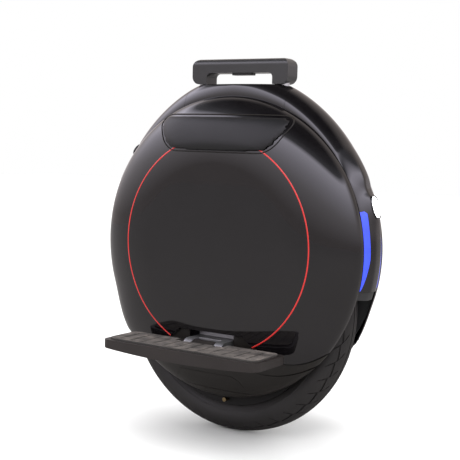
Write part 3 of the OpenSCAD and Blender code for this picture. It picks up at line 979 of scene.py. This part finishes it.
def recess_block():
    """The block that clears the finger recess, with its upright edges rounded."""
    pick(None)
    bpy.ops.mesh.primitive_cube_add(size=1, location=(0, 0, 0.545))
    block = bpy.context.active_object
    block.scale = (0.112, 0.036, 0.106)
    bpy.ops.object.transform_apply(location=True, rotation=True, scale=True)
    edit(block, ("select_all", {"action": "DESELECT"}))
    for e in block.data.edges:
        a, b = (block.data.vertices[i].co for i in e.vertices)
        e.select = abs(a.z - b.z) > 0.05
    edit(block, ("bevel", {"offset": 0.012, "segments": 8}), mode="EDGE")
    return block


def build_top(context):
    sizes = context.scene.unicycle_sizes
    flat_z, brim_z = 524.3, 0.5235

    def place(u, v):
        x, y = (SHELL_TOP_X - 0.1) * (2 * v - 1), across_shell(u)
        turn = first(lambda t: crown_x(y, t) < abs(x), 1.0, math.pi / 2)
        z = BODY_Z + crown_reach(y, turn) * math.sin(turn)
        return (x, y, soft_min(z, flat_z, 1.5))

    cover = sheet("top_cover_gloss", len(ACROSS) - 1, 88, place, (0, 0, 1))
    modify(cover, "SOLIDIFY", thickness=sizes.shell_wall, offset=-1)
    block = recess_block()
    tray = copy_of(block, "finger_recess")
    tubes = [round_cutter(0.0089, 0.06, (x, 0, 0.52)) for x in (-0.072, 0.072)]
    cut(cover, [block, *tubes])
    round_edges(cover, 0.0006, 2)
    place_piece(cover, gloss_shell(), "root", "top_cover")
    edit(tray, ("select_all", {"action": "DESELECT"}))
    for v in tray.data.vertices:
        if v.co.z > 0.55:
            v.co.z = brim_z
    for f in tray.data.polygons:
        f.select = f.normal.z > 0.9
    edit(
        tray,
        ("delete", {"type": "FACE"}),
        ("select_all", {"action": "SELECT"}),
        ("flip_normals", {}),
        mode="FACE",
    )
    modify(tray, "SOLIDIFY", thickness=0.0022, offset=-1)
    round_edges(tray, 0.0008, 3)
    place_piece(tray, inner_plastic())


def build_strips(context):
    blue = glowing(
        "strip_blue",
        context.scene.unicycle_colours.light,
        0.8,
        core=(0.035, 0.085, 0.8),
        Roughness=0.25,
    )
    low, high, wide = math.radians(-12.0), math.radians(16.6), 11.4

    def place(u, v):
        turn = low + (high - low) * u
        full = min(1.0, (u / 0.4) ** 0.62) * (1 - 0.16 * u)
        top_slant = 0.0 if u < 0.97 else (u - 0.97) / 0.03 * 0.35
        y = RIM_Y - 0.3 - wide * full * v * (1 - top_slant)
        return shell_point(-y, turn, 0.1 + 0.3 * math.sin(math.pi * v))

    strip_fr = sheet("light_strip_glow_front_right", 90, 10, place, (1, -1, 0))
    back_up(strip_fr)
    front_left = other_side(strip_fr, "light_strip_glow_front_left")
    made = {
        "front_right": strip_fr,
        "front_left": front_left,
        "rear_right": other_side(strip_fr, "light_strip_glow_rear_right", "X"),
        "rear_left": other_side(front_left, "light_strip_glow_rear_left", "X"),
    }
    for corner, piece in made.items():
        place_piece(piece, blue, "root", f"light_strip_{corner}")


def build_lamps(context):
    white = glowing("headlight_white", (0.9, 0.95, 1.0), 7.0, core=(1, 1, 1), Roughness=0.15)
    half_w, half_h, middle, out_r = 9.4, 14.6, math.radians(LAMP_TURN), 232

    def spot(u, size, lift):
        """A point of the lamp's rounded outline, grown by size, on the swelling."""
        a = 2 * math.pi * u
        c, s = math.cos(a), math.sin(a)
        y = size * half_w * math.copysign(abs(c) ** 0.75, c)
        turn = middle + size * half_h * math.copysign(abs(s) ** 0.85, s) / out_r
        return shell_point(y, turn, lift)

    def glass(name, lift, crown):
        lens = sheet(name, 64, 14, lambda u, v: spot(u, v, lift + crown * (1 - v * v)), FRONT)
        back_up(lens)
        return lens

    def rim(u, v):
        return spot(u, 0.99 + 0.2 * v, 0.3 + 1.5 * math.sin(math.pi * v) ** 0.6)

    place_piece(glass("headlight_glass", 0.5, 1.1), white, "root", "headlight_lens")
    bezel = sheet("headlight_bezel", 96, 8, rim, FRONT)
    back_up(bezel, 0.0012, 60)
    place_piece(bezel, gloss_shell(), "root", "headlight_housing")
    red = glowing(
        "tail_red", (0.5, 0.01, 0.012), 0.5, core=(0.8, 0.02, 0.02), Roughness=0.12, IOR=1.5
    )
    tail = glass("tail_lamp", 0.6, 0.9)
    rear = other_side(tail, "tail_lamp_glass", "X")
    bpy.data.objects.remove(tail)
    place_piece(rear, red, "root", "tail_light_lens")
    place_piece(other_side(bezel, "tail_lamp_bezel", "X"), gloss_shell())


def pad_ring(count=144):
    """Points round the pad's outline, evenly spread, with their outward directions."""
    pts = [Vector(p) for p in PAD_OUTLINE]
    sides = [(a, b, (b - a).length) for a, b in zip(pts, pts[1:] + pts[:1])]
    total, out = sum(s[2] for s in sides), []
    for i in range(count):
        d = total * i / count
        for a, b, size in sides:
            if d <= size:
                out.append(a.lerp(b, d / size))
                break
            d -= size
    for _ in range(3):
        out = [(out[i - 1] + 2 * out[i] + out[(i + 1) % count]) / 4 for i in range(count)]
    dirs = []
    for i in range(count):
        t = out[(i + 1) % count] - out[i - 1]
        dirs.append(Vector((t.y, -t.x)).normalized())
    return out, dirs


def build_pads(context):
    sizes = context.scene.unicycle_sizes
    ring, dirs = pad_ring()
    count = len(ring)
    centre = Vector(PAD_CENTRE)
    turn_back = 0.7

    def cushion(u, v):
        """The crowned face out to the rim, then the flat back in to the middle."""
        i = round(u * count) % count
        if v <= turn_back:
            share = v / turn_back
            height = 7.0 * (1 - share**5) ** 0.5
        else:
            share, height = 1 - (v - turn_back) / (1 - turn_back), 0.0
        p = centre + (ring[i] - dirs[i] * 1.6 - centre) * share
        return on_dome(p.x, p.y, COVER, height + 0.3)

    pad = sheet("leg_pad_soft_right", count, 40, cushion)
    inflate(pad)
    smooth(pad, 60)

    def lip(u, v):
        i = round(u * count) % count
        wide = sizes.pad_lip / MM
        p = ring[i] + dirs[i] * (-0.6 + wide * v)
        return on_dome(p.x, p.y, COVER, 0.1 + 1.3 * math.sin(math.pi * v) ** 0.7)

    edge = sheet("pad_lip_right", count, 8, lip, RIGHT)
    back_up(edge, 0.0012, 60)
    soft = finish_of(
        "pad_skin", context.scene.unicycle_colours.pad, rough=(0.42, 0.52), grain=1300.0,
        bump=0.35, depth=0.00025, dust=0.01, scratch=0.03, Specular_IOR_Level=0.3,
    )
    for side, a, b in (
        ("right", pad, edge),
        ("left", other_side(pad, "leg_pad_soft_left"), other_side(edge, "pad_lip_left")),
    ):
        place_piece(a, soft, "root", f"leg_pad_{side}")
        place_piece(b, satin_cover())


def inflate(pad):
    """Swells a pad with a short cloth simulation, held at its back."""
    modify(pad, "REMESH", mode="VOXEL", voxel_size=0.003)
    back = pad.vertex_groups.new(name="glued_back")
    for v in pad.data.vertices:
        if v.co.y / MM > on_dome(v.co.x / MM, v.co.z / MM, COVER, 1.6)[1]:
            back.add([v.index], 1.0, "REPLACE")
    rest = [v.co.copy() for v in pad.data.vertices]
    cloth = pad.modifiers.new("Cloth", "CLOTH")
    cloth.settings.quality, cloth.settings.mass = 6, 0.25
    cloth.settings.tension_stiffness = cloth.settings.compression_stiffness = 12
    cloth.settings.bending_stiffness = 0.6
    cloth.settings.use_pressure = True
    cloth.settings.uniform_pressure_force = 4.0
    cloth.settings.vertex_group_mass = back.name
    cloth.settings.effector_weights.gravity = 0.0
    scene = bpy.context.scene
    for step in range(1, 21):
        scene.frame_set(step)
    pick(pad)
    bpy.ops.object.modifier_apply(modifier=cloth.name)
    scene.frame_set(1)
    farthest = 0.0035
    for v, was in zip(pad.data.vertices, rest):
        move = v.co - was
        if move.length > farthest:
            v.co = was + move.normalized() * farthest
    modify(pad, "SUBSURF", levels=1, render_levels=1)


def build_pedals(context):
    cast = finish_of(
        "pedal_coat", context.scene.unicycle_colours.pedal, rough=(0.38, 0.5), dark=0.75,
        grain=1500.0, bump=0.35, depth=0.0003, dust=0.03, scratch=0.12, Specular_IOR_Level=0.3,
    )
    grit = finish_of(
        "pedal_grit", context.scene.unicycle_colours.grip, rough=(0.7, 0.9), dark=0.55,
        mottle=22.0, grain=700.0, bump=0.9, depth=0.0006, dust=0.4, scratch=0.25,
        dust_colour=(0.34, 0.29, 0.26),
    )
    for side in ("right", "left"):
        body = f"pedal_{side}"
        dress(body, cast, body, 1.4, 3)
        dress(f"pedal_grip_{side}", grit, body, 0.5)


def build_handle(context):
    hard = finish_of(
        "handle_plastic", (0.014, 0.014, 0.015), rough=(0.3, 0.42), grain=1500.0, bump=0.3,
        dust=0.03, scratch=0.12,
    )
    dress("handle_grip", hard, "handle_upper", 1.6, 3)
    dress("handle_button", hard, "handle_button", 0.7)
    paint(brushed_metal(), "handle_guides", "handle_lower_tubes", "handle_upper_tubes")


def build_controls(context):
    dress("power_button", brushed_metal(), "power_button", 0.4)
    dress("charge_cap", black_rubber(), "charge_cap", 0.5)
    dress("charge_socket", inner_plastic(), "root", 0.3)


def build_electrics(context):
    paint(
        finish_of("battery_wrap", (0.03, 0.1, 0.32), rough=(0.2, 0.3), grain=500.0, bump=0.1),
        "battery_packs",
    )
    green = finish_of(
        "board_lacquer", (0.02, 0.13, 0.06), rough=(0.25, 0.4), grain=900.0, bump=0.2
    )
    paint(green, "controller_board")
    boards = dressed("light_boards", 0.2, 1)
    for v in boards.data.vertices:
        if abs(v.co.y) > 0.02:
            v.co.y -= math.copysign(0.0125, v.co.y)
            v.co.x -= math.copysign(0.003, v.co.x)
    place_piece(boards, green, "root", "light_boards")
    paint(brushed_metal(), "heat_sink")


def build_stage(context):
    scene = context.scene
    scene.view_settings.view_transform = "Standard"
    pick(None)
    bpy.ops.mesh.primitive_plane_add(size=14, location=(0, 0, -0.0002))
    floor = context.active_object
    floor.name = floor.data.name = "floor"
    floor.data.materials.append(
        finish_of(
            "pale_floor", (0.86, 0.86, 0.86), rough=(0.75, 0.85), dark=0.985, mottle=1.5,
            grain=300.0, bump=0.02, dust=0.0, scratch=0.0,
        )
    )
    surface = floor.data.materials[0].node_tree
    principled = surface.nodes["Principled BSDF"]
    plain = principled.inputs["Base Color"].links[0].from_socket
    # Painted reflection shade: on glossy rays the floor's colour becomes a dark grey, so the shells
    # mirror a dimmer floor than the camera sees.
    reflection_shade_switch = node(surface, "LightPath").outputs["Is Glossy Ray"]
    surface.links.new(
        mix_colour(surface, reflection_shade_switch, plain, (0.36, 0.34, 0.335)), principled.inputs["Base Color"]
    )
    world = bpy.data.worlds.new("studio")
    scene.world = world
    world.use_nodes = True
    tree = world.node_tree
    tree.nodes.clear()
    out = node(tree, "OutputWorld")
    ray = node(tree, "LightPath")
    facing = node(tree, "SeparateXYZ", {"Vector": node(tree, "TexCoord").outputs["Generated"]})
    half = node(tree, "MapRange", {"Value": facing.outputs["Z"], "From Min": -1.0, "To Min": 0.0})
    room = ramp(
        tree,
        half.outputs["Result"],
        [
            (0.0, (0.17, 0.15, 0.15)),
            (0.40, (0.1, 0.09, 0.09)),
            (0.50, (0.1, 0.09, 0.09)),
            (0.61, (0.24, 0.225, 0.24)),
            (0.70, (0.42, 0.4, 0.455)),
            (0.80, (0.68, 0.65, 0.75)),
            (0.835, (0.09, 0.09, 0.1)),
            (0.88, (0.03, 0.03, 0.034)),
            (0.94, (0.004, 0.004, 0.005)),
        ],
    )
    over_y = {"Value": facing.outputs["Y"], "From Min": 0.0, "From Max": 0.45}
    over_z = {"Value": facing.outputs["Z"], "From Min": 0.02, "From Max": 0.3}
    behind, raised = node(tree, "MapRange", over_y), node(tree, "MapRange", over_z)
    shade = times(tree, behind.outputs[0], raised.outputs[0])
    dimmed = mix_colour(tree, shade, room, (0.13, 0.115, 0.11))
    reflected = node(tree, "Background", {"Color": dimmed, "Strength": 7.0})
    soft = node(tree, "Background", {"Color": (1, 1, 1, 1), "Strength": 1.6})
    white = node(tree, "Background", {"Color": (1, 1, 1, 1), "Strength": 1.0})
    light = soft
    for sort, other in (("Is Glossy Ray", reflected), ("Is Camera Ray", white)):
        choice = {0: ray.outputs[sort], 1: light.outputs[0], 2: other.outputs[0]}
        light = node(tree, "MixShader", choice)
    tree.links.new(light.outputs[0], out.inputs["Surface"])
    for name, spot, size, power in (
        ("key_light", (1.2, -1.6, 2.6), 1.6, 26.0),
        ("top_light", (-0.4, 0.2, 2.8), 2.2, 22.0),
    ):
        lamp = bpy.data.lights.new(name, "AREA")
        lamp.shape, lamp.size, lamp.energy = "SQUARE", size, power
        holder = bpy.data.objects.new(name, lamp)
        scene.collection.objects.link(holder)
        holder.location = spot
        aim = Vector((0, 0, 0.25)) - Vector(spot)
        holder.rotation_euler = aim.to_track_quat("-Z", "Y").to_euler()
        holder.visible_glossy = False
    lens = bpy.data.cameras.new("camera")
    lens.sensor_width, lens.lens = 36.0, 81.2
    lens.shift_x, lens.shift_y = -0.0211, 0.0189
    camera = bpy.data.objects.new("camera", lens)
    scene.collection.objects.link(camera)
    azimuth, elevation, roll = (math.radians(a) for a in (32.9, 5.5, 1.6))
    level = math.cos(elevation)
    back = Vector((math.sin(azimuth) * level, -math.cos(azimuth) * level, math.sin(elevation)))
    right = Vector((0, 0, 1)).cross(back).normalized()
    up = back.cross(right)
    side = math.cos(roll) * right + math.sin(roll) * up
    turned = Matrix((side, back.cross(side), back)).transposed().to_4x4()
    target, distance = Vector((0.0008, 0, 0.2934)), 1.57
    camera.matrix_world = Matrix.Translation(target + back * distance) @ turned
    scene.camera = camera


# ---- operators and panel ----------------------------------------------------------------------


class UNICYCLE_OT_tyre(bpy.types.Operator):
    """Tyre with its tread: centre grooves, slanted slits and the links between them."""

    bl_idname = "unicycle.tyre"
    bl_label = "Tyre"

    def execute(self, context):
        build_tyre(context)
        return {"FINISHED"}


class UNICYCLE_OT_wheel(bpy.types.Operator):
    """Finishes on the motor casting and what turns with it."""

    bl_idname = "unicycle.wheel"
    bl_label = "Wheel and motor shell"

    def execute(self, context):
        build_wheel(context)
        return {"FINISHED"}


class UNICYCLE_OT_core(bpy.types.Operator):
    """Finishes on the fixed motor core, hangers and frame."""

    bl_idname = "unicycle.core"
    bl_label = "Motor core and frame"

    def execute(self, context):
        build_core(context)
        return {"FINISHED"}


class UNICYCLE_OT_side_covers(bpy.types.Operator):
    """Glossy domed covers, one each side."""

    bl_idname = "unicycle.side_covers"
    bl_label = "Side covers"

    def execute(self, context):
        build_side_covers(context)
        return {"FINISHED"}


class UNICYCLE_OT_rings(bpy.types.Operator):
    """Thin red ring let into each side cover."""

    bl_idname = "unicycle.rings"
    bl_label = "Trim rings"

    def execute(self, context):
        build_rings(context)
        return {"FINISHED"}


class UNICYCLE_OT_bands(bpy.types.Operator):
    """Satin bands below the glossy covers."""

    bl_idname = "unicycle.bands"
    bl_label = "Side bands"

    def execute(self, context):
        build_bands(context)
        return {"FINISHED"}


class UNICYCLE_OT_lower_covers(bpy.types.Operator):
    """Satin lower covers with their service panels."""

    bl_idname = "unicycle.lower_covers"
    bl_label = "Lower covers"

    def execute(self, context):
        build_lower_covers(context)
        return {"FINISHED"}


class UNICYCLE_OT_shells(bpy.types.Operator):
    """Front and rear halves of the crowned centre shell."""

    bl_idname = "unicycle.shells"
    bl_label = "Front and rear shells"

    def execute(self, context):
        build_shells(context)
        return {"FINISHED"}


class UNICYCLE_OT_top_cover(bpy.types.Operator):
    """Top cover with the recess under the handle."""

    bl_idname = "unicycle.top_cover"
    bl_label = "Top cover"

    def execute(self, context):
        build_top(context)
        return {"FINISHED"}


class UNICYCLE_OT_light_strips(bpy.types.Operator):
    """Glowing strips on the shell's shoulders: full in the middle, pointed below."""

    bl_idname = "unicycle.light_strips"
    bl_label = "Light strips"

    def execute(self, context):
        build_strips(context)
        return {"FINISHED"}


class UNICYCLE_OT_lamps(bpy.types.Operator):
    """Headlight and tail light."""

    bl_idname = "unicycle.lamps"
    bl_label = "Headlight and tail light"

    def execute(self, context):
        build_lamps(context)
        return {"FINISHED"}


class UNICYCLE_OT_leg_pads(bpy.types.Operator):
    """Soft leg pads and the thin lips round them."""

    bl_idname = "unicycle.leg_pads"
    bl_label = "Leg pads"

    def execute(self, context):
        build_pads(context)
        return {"FINISHED"}


class UNICYCLE_OT_pedals(bpy.types.Operator):
    """Folding pedals with their gritty foot pads."""

    bl_idname = "unicycle.pedals"
    bl_label = "Pedals"

    def execute(self, context):
        build_pedals(context)
        return {"FINISHED"}


class UNICYCLE_OT_handle(bpy.types.Operator):
    """Carry handle on its telescopic tubes."""

    bl_idname = "unicycle.handle"
    bl_label = "Carry handle"

    def execute(self, context):
        build_handle(context)
        return {"FINISHED"}


class UNICYCLE_OT_controls(bpy.types.Operator):
    """Power button, charge socket and its cap."""

    bl_idname = "unicycle.controls"
    bl_label = "Button and charge socket"

    def execute(self, context):
        build_controls(context)
        return {"FINISHED"}


class UNICYCLE_OT_electrics(bpy.types.Operator):
    """Finishes on the batteries, boards and heat sink."""

    bl_idname = "unicycle.electrics"
    bl_label = "Electrics"

    def execute(self, context):
        build_electrics(context)
        return {"FINISHED"}


class UNICYCLE_OT_stage(bpy.types.Operator):
    """Pale floor, soft studio light and the camera."""

    bl_idname = "unicycle.stage"
    bl_label = "Stage"

    def execute(self, context):
        build_stage(context)
        return {"FINISHED"}


OPERATORS = [
    UNICYCLE_OT_tyre,
    UNICYCLE_OT_wheel,
    UNICYCLE_OT_core,
    UNICYCLE_OT_side_covers,
    UNICYCLE_OT_rings,
    UNICYCLE_OT_bands,
    UNICYCLE_OT_lower_covers,
    UNICYCLE_OT_shells,
    UNICYCLE_OT_top_cover,
    UNICYCLE_OT_light_strips,
    UNICYCLE_OT_lamps,
    UNICYCLE_OT_leg_pads,
    UNICYCLE_OT_pedals,
    UNICYCLE_OT_handle,
    UNICYCLE_OT_controls,
    UNICYCLE_OT_electrics,
    UNICYCLE_OT_stage,
]


class UNICYCLE_PT_panel(bpy.types.Panel):
    bl_label = "Electric Unicycle"
    bl_space_type = "VIEW_3D"
    bl_region_type = "UI"
    bl_category = "Unicycle"

    def draw(self, context):
        for group_of_settings in (context.scene.unicycle_sizes, context.scene.unicycle_colours):
            for key in group_of_settings.__annotations__:
                self.layout.prop(group_of_settings, key)
        for operator in OPERATORS:
            self.layout.operator(operator.bl_idname)


CLASSES = [UnicycleSizes, UnicycleColours, *OPERATORS, UNICYCLE_PT_panel]


def register():
    for made in CLASSES:
        bpy.utils.register_class(made)
    bpy.types.Scene.unicycle_sizes = bpy.props.PointerProperty(type=UnicycleSizes)
    bpy.types.Scene.unicycle_colours = bpy.props.PointerProperty(type=UnicycleColours)


def unregister():
    del bpy.types.Scene.unicycle_sizes
    del bpy.types.Scene.unicycle_colours
    for made in reversed(CLASSES):
        bpy.utils.unregister_class(made)


def main():
    register()
    for operator in OPERATORS:
        getattr(bpy.ops.unicycle, operator.bl_idname.partition(".")[2])()


if __name__ == "__main__":
    main()
